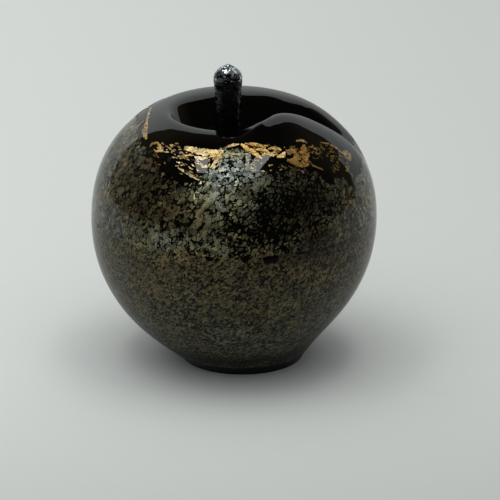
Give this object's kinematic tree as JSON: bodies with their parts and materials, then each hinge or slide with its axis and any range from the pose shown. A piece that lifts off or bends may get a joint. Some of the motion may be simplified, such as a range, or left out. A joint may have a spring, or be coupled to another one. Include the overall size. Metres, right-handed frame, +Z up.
{
  "type": "art glass apple",
  "caption": "Solid black art glass apple with a dimpled crown, shoulder furrow, applied glass stem, crackled silver leaf and torn gold leaf.",
  "frame": {"origin": "centre of the overall box at the base plane, where the foot rests", "axes": "+Z up along the stem, -Y the side with the brightest leaf, +X the side with the shoulder furrow"},
  "size_m": [0.0817, 0.0816, 0.0889],
  "materials": {
    "black_glass": "fire-polished opaque black glass",
    "fine_silver_leaf": "tarnished silver leaf broken into fine specks under gloss",
    "crackled_silver_leaf": "silver leaf crackled into small plates under gloss",
    "gold_leaf": "torn gold leaf under gloss",
    "stem_glass": "fire-polished opaque black glass",
    "stem_leaf": "dark crinkled silver leaf with a bluish sheen"
  },
  "bodies": {
    "root": {"glass_body": "black_glass", "lower_silver_leaf": "fine_silver_leaf", "upper_silver_leaf": "crackled_silver_leaf", "gold_leaf": "gold_leaf", "stem": "stem_glass", "stem_leaf": "stem_leaf"}
  },
  "joints": []
}
